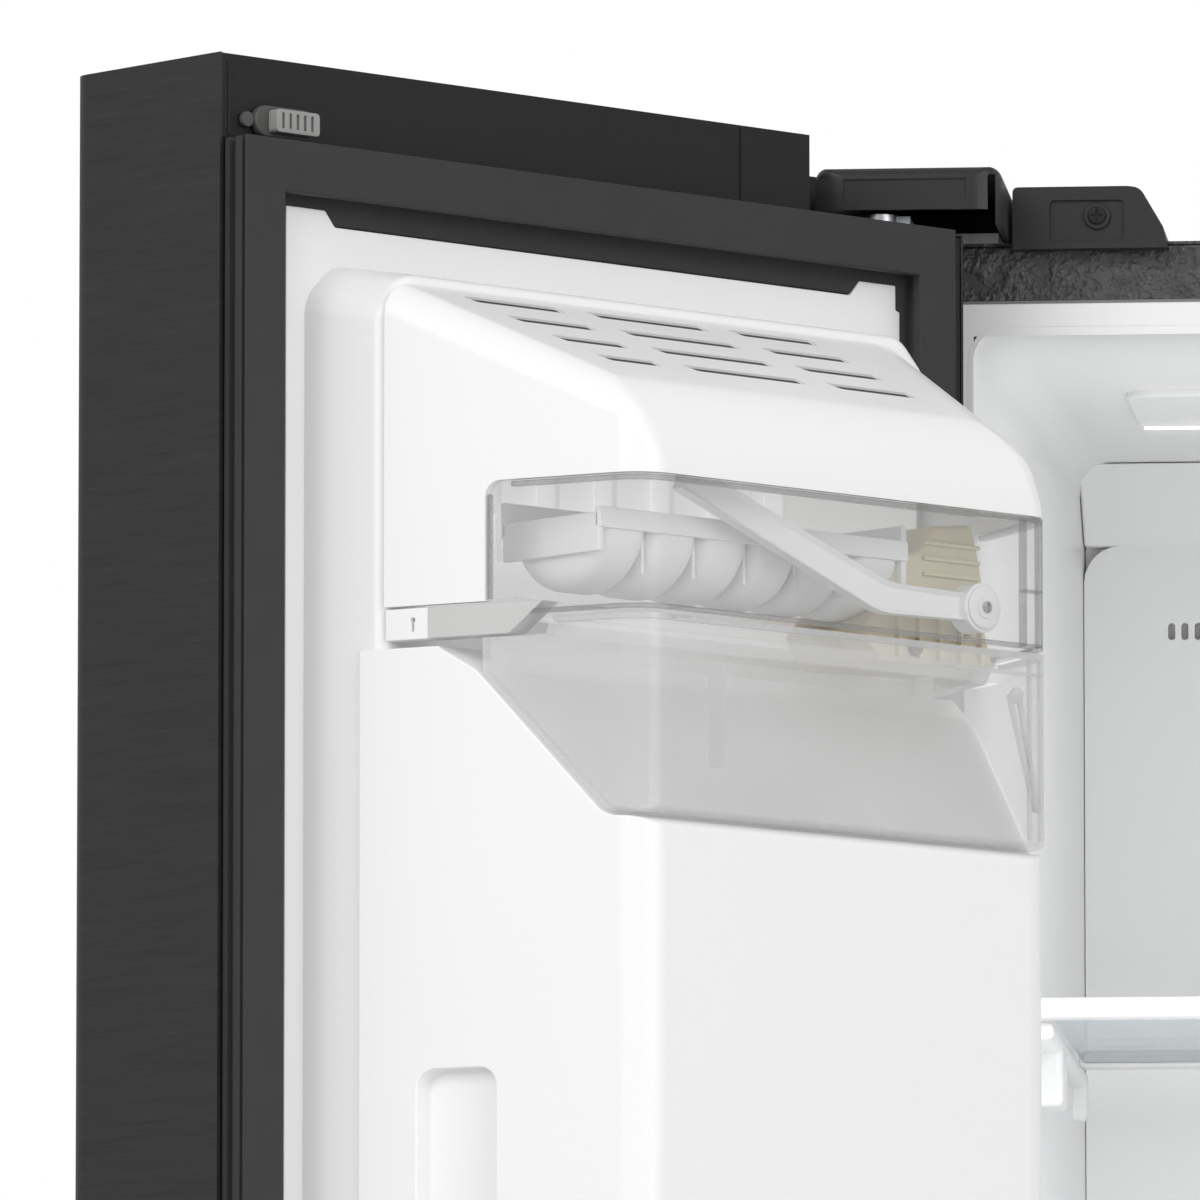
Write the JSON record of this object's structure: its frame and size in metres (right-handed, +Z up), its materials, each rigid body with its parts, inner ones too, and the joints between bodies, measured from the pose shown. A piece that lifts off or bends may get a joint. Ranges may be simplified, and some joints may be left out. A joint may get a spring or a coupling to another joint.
{
  "type": "side by side refrigerator",
  "caption": "Side by side refrigerator with a dark steel freezer door open on an in-door ice maker, shelves, drawers and door bins.",
  "frame": {"origin": "centre of the sole of the front left levelling foot, at floor level", "axes": "+X to the right along the cabinet's front, +Y to the back, +Z up"},
  "size_m": [1.5411, 1.0955, 1.79],
  "materials": {
    "black_metal": "black enamel with a fine orange-peel texture",
    "dark_steel": "dark brushed stainless steel with a clear coat",
    "dark_plastic": "satin black moulded plastic",
    "white_plastic": "glossy white vacuum-formed and moulded plastic",
    "clear_plastic": "clear moulded plastic",
    "shelf_glass": "toughened glass",
    "seal_rubber": "dark grey flexible seal",
    "grey_plastic": "satin grey plastic",
    "beige_plastic": "translucent cream plastic",
    "zinc_steel": "zinc-plated steel",
    "black_enamel": "black enamelled steel",
    "cooling_metal": "aluminium fins and tubes",
    "foam": "rigid polyurethane foam",
    "lamp_diffuser": "opal lamp cover",
    "roller_plastic": "hard grey plastic"
  },
  "bodies": {
    "cabinet": {"cabinet_shell": "black_metal", "front_frame": "black_metal", "back_panel": "zinc_steel", "cabinet_foam": "foam", "freezer_liner": "white_plastic", "fridge_liner": "white_plastic", "base_frame": "black_enamel", "kick_plate": "dark_plastic", "freezer_duct": "white_plastic", "fridge_duct": "white_plastic", "interior_lamps": "lamp_diffuser", "shelf_glass": "shelf_glass", "shelf_trims": "white_plastic", "door_hinges": "zinc_steel", "hinge_covers": "dark_plastic", "wire_covers": "dark_plastic", "cover_screws": "zinc_steel", "compressor": "black_enamel", "condenser": "black_enamel", "machine_cover": "black_enamel", "evaporator": "cooling_metal", "water_valve": "grey_plastic", "cord_inlet": "dark_plastic"},
    "roller_left": {"rear_roller_left": "roller_plastic"},
    "roller_right": {"rear_roller_right": "roller_plastic"},
    "foot_left": {"front_foot_left": "dark_plastic"},
    "foot_right": {"front_foot_right": "dark_plastic"},
    "evaporator_fan_rotor": {"evaporator_fan": "dark_plastic"},
    "condenser_fan_rotor": {"condenser_fan": "dark_plastic"},
    "basket_upper": {"freezer_basket_upper": "clear_plastic"},
    "basket_lower": {"freezer_basket_lower": "clear_plastic"},
    "crisper_top": {"crisper_upper": "clear_plastic"},
    "crisper_bottom": {"crisper_lower": "clear_plastic"},
    "freezer_door": {"freezer_door_skin": "dark_steel", "freezer_door_caps": "dark_plastic", "freezer_door_foam": "foam", "freezer_door_liner": "white_plastic", "freezer_gasket": "seal_rubber", "door_bumpers": "grey_plastic", "ice_housing": "white_plastic", "ice_cover": "clear_plastic", "bucket_rail": "grey_plastic", "ice_drive": "beige_plastic", "dispenser_housing": "dark_plastic"},
    "tray": {"ice_tray": "white_plastic"},
    "arm": {"feeler_arm": "white_plastic"},
    "bucket": {"ice_bucket": "clear_plastic"},
    "paddle": {"dispenser_paddle": "grey_plastic"},
    "door_bin_upper": {"freezer_bin_upper": "clear_plastic"},
    "door_bin_lower": {"freezer_bin_lower": "clear_plastic"},
    "fridge_door": {"fridge_door_skin": "dark_steel", "fridge_door_caps": "dark_plastic", "fridge_door_foam": "foam", "fridge_door_liner": "white_plastic", "fridge_gasket": "seal_rubber"},
    "fridge_bin_1": {"fridge_bin_upper": "clear_plastic"},
    "fridge_bin_2": {"fridge_bin_middle": "clear_plastic"},
    "fridge_bin_3": {"fridge_bin_lower": "clear_plastic"},
    "dairy_flap": {"dairy_lid": "clear_plastic"}
  },
  "joints": [
    {"name": "freezer_door_swing", "type": "hinge", "parent": "cabinet", "child": "freezer_door", "pos_m": [-0.03, -0.084, 0], "axis": [0, 0, -1], "range_deg": [-132, 3]},
    {"name": "fridge_door_swing", "type": "hinge", "parent": "cabinet", "child": "fridge_door", "pos_m": [0.849, -0.084, 0], "axis": [0, 0, 1], "range_deg": [-132, 3]},
    {"name": "basket_upper_pull", "type": "slide", "parent": "cabinet", "child": "basket_upper", "axis": [0, -1, 0], "range_m": [0, 0.28]},
    {"name": "basket_lower_pull", "type": "slide", "parent": "cabinet", "child": "basket_lower", "axis": [0, -1, 0], "range_m": [0, 0.19]},
    {"name": "crisper_upper_pull", "type": "slide", "parent": "cabinet", "child": "crisper_top", "axis": [0, -1, 0], "range_m": [0, 0.28]},
    {"name": "crisper_lower_pull", "type": "slide", "parent": "cabinet", "child": "crisper_bottom", "axis": [0, -1, 0], "range_m": [0, 0.19]},
    {"name": "feeler_arm_drop", "type": "hinge", "parent": "freezer_door", "child": "arm", "pos_m": [0.0234, -0.2653, 1.5875], "axis": [0.7431, -0.6691, 0], "range_deg": [0, 30]},
    {"name": "ice_tray_turn", "type": "hinge", "parent": "freezer_door", "child": "tray", "pos_m": [-0.08015, -0.31605, 1.608], "axis": [-0.6691, -0.7431, 0], "range_deg": [0, 150]},
    {"name": "ice_bucket_pull", "type": "slide", "parent": "freezer_door", "child": "bucket", "axis": [0.7431, -0.6691, 0], "range_m": [0, 0.15]},
    {"name": "dispenser_paddle_push", "type": "hinge", "parent": "freezer_door", "child": "paddle", "pos_m": [-0.1685, -0.21092, 1.104], "axis": [-0.6691, -0.7431, 0], "range_deg": [0, 8], "stiffness_Nm_per_rad": 1.2},
    {"name": "freezer_bin_upper_lift", "type": "slide", "parent": "freezer_door", "child": "door_bin_upper", "axis": [0, 0, 1], "range_m": [0, 0.03]},
    {"name": "freezer_bin_lower_lift", "type": "slide", "parent": "freezer_door", "child": "door_bin_lower", "axis": [0, 0, 1], "range_m": [0, 0.03]},
    {"name": "fridge_bin_upper_lift", "type": "slide", "parent": "fridge_door", "child": "fridge_bin_1", "axis": [0, 0, 1], "range_m": [0, 0.03]},
    {"name": "fridge_bin_middle_lift", "type": "slide", "parent": "fridge_door", "child": "fridge_bin_2", "axis": [0, 0, 1], "range_m": [0, 0.03]},
    {"name": "fridge_bin_lower_lift", "type": "slide", "parent": "fridge_door", "child": "fridge_bin_3", "axis": [0, 0, 1], "range_m": [0, 0.03]},
    {"name": "dairy_lid_lift", "type": "hinge", "parent": "fridge_door", "child": "dairy_flap", "pos_m": [0.87596, -0.30598, 1.612], "axis": [-0.6691, 0.7431, 0], "range_deg": [0, 85]},
    {"name": "foot_left_turn", "type": "hinge", "parent": "cabinet", "child": "foot_left", "pos_m": [0, 0, 0], "axis": [0, 0, 1], "continuous": true},
    {"name": "foot_right_turn", "type": "hinge", "parent": "cabinet", "child": "foot_right", "pos_m": [0.819, 0, 0], "axis": [0, 0, 1], "continuous": true},
    {"name": "roller_left_turn", "type": "hinge", "parent": "cabinet", "child": "roller_left", "pos_m": [0, 0.52, 0.02], "axis": [1, 0, 0], "continuous": true},
    {"name": "roller_right_turn", "type": "hinge", "parent": "cabinet", "child": "roller_right", "pos_m": [0.819, 0.52, 0.02], "axis": [1, 0, 0], "continuous": true},
    {"name": "evaporator_fan_turn", "type": "hinge", "parent": "cabinet", "child": "evaporator_fan_rotor", "pos_m": [0.1615, 0.442, 1.578], "axis": [0, 1, 0], "continuous": true},
    {"name": "condenser_fan_turn", "type": "hinge", "parent": "cabinet", "child": "condenser_fan_rotor", "pos_m": [0.396, 0.45, 0.177], "axis": [1, 0, 0], "continuous": true}
  ]
}
